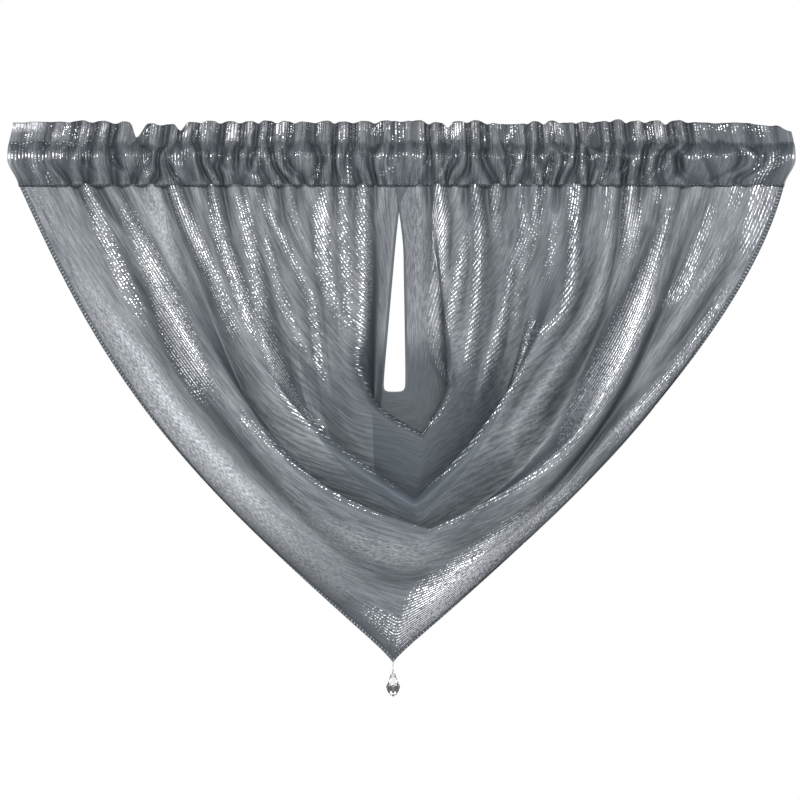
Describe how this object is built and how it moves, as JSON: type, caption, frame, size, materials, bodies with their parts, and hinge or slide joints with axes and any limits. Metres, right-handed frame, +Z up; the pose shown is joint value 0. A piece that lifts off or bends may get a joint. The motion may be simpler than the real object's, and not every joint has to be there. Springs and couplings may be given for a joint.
{
  "type": "sheer curtain swag",
  "caption": "Sheer gathered swag with a frilled rod pocket, cowl folds draped round an open slit, and a faceted glass drop at its lower point.",
  "frame": {"origin": "on the axis of the rod pocket, halfway along it", "axes": "+X along the rod pocket, to the right as seen from the front; -Y towards the room; +Z up"},
  "size_m": [0.56, 0.0507, 0.411],
  "materials": {
    "cloth": "sheer steel-grey voile with a metallic thread",
    "glass": "clear faceted glass",
    "thread": "clear nylon thread"
  },
  "bodies": {
    "root": {"heading": "cloth", "panel": "cloth", "bead_drop": "glass", "bead_thread": "thread"}
  },
  "joints": []
}
